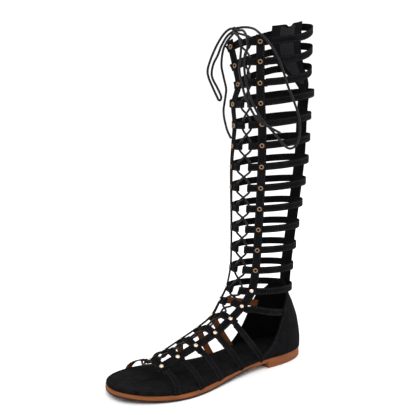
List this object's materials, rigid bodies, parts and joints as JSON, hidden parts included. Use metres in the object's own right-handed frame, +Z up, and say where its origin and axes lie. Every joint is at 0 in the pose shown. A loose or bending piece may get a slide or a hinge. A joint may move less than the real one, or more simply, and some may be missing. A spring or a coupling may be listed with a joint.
{
  "type": "knee-high gladiator sandal",
  "caption": "Left knee-high lace-up gladiator sandal: flat open-toe sole, strap rings up the leg, closed heel counter, lace up the front.",
  "frame": {"origin": "on the floor, at the centre of the heel block's flat face", "axes": "+Z up the leg, toe towards -Y, lateral (outer) side of the foot towards +X"},
  "size_m": [0.0992, 0.2531, 0.366],
  "materials": {
    "black_suede": "napped suede",
    "outsole_rubber": "satin, tan with a dark lower edge",
    "brass": "lightly aged",
    "black_cord": "waxed round cord"
  },
  "bodies": {
    "root": {"back_yoke": "black_suede", "bow_knot": "black_cord", "bow_loop_lateral": "black_cord", "bow_loop_medial": "black_cord", "footbed": "black_suede", "heel_counter": "black_suede", "lace_crossings": "black_cord", "lace_end_lateral": "black_cord", "lace_end_medial": "black_cord", "outsole": "outsole_rubber", "stud_lateral_01": "brass", "stud_lateral_02": "brass", "stud_lateral_03": "brass", "stud_lateral_04": "brass", "stud_lateral_05": "brass", "stud_lateral_06": "brass", "stud_lateral_07": "brass", "stud_lateral_08": "brass", "stud_lateral_09": "brass", "stud_lateral_10": "brass", "stud_lateral_11": "brass", "stud_lateral_12": "brass", "stud_lateral_13": "brass", "stud_lateral_14": "brass", "stud_lateral_15": "brass", "stud_lateral_16": "brass", "stud_lateral_17": "brass", "stud_lateral_18": "brass", "stud_lateral_19": "brass", "stud_medial_01": "brass", "stud_medial_02": "brass", "stud_medial_03": "brass", "stud_medial_04": "brass", "stud_medial_05": "brass", "stud_medial_06": "brass", "stud_medial_07": "brass", "stud_medial_08": "brass", "stud_medial_09": "brass", "stud_medial_10": "brass", "stud_medial_11": "brass", "stud_medial_12": "brass", "stud_medial_13": "brass", "stud_medial_14": "brass", "stud_medial_15": "brass", "stud_medial_16": "brass", "stud_medial_17": "brass", "stud_medial_18": "brass", "stud_medial_19": "brass", "upper": "black_suede"}
  },
  "joints": []
}
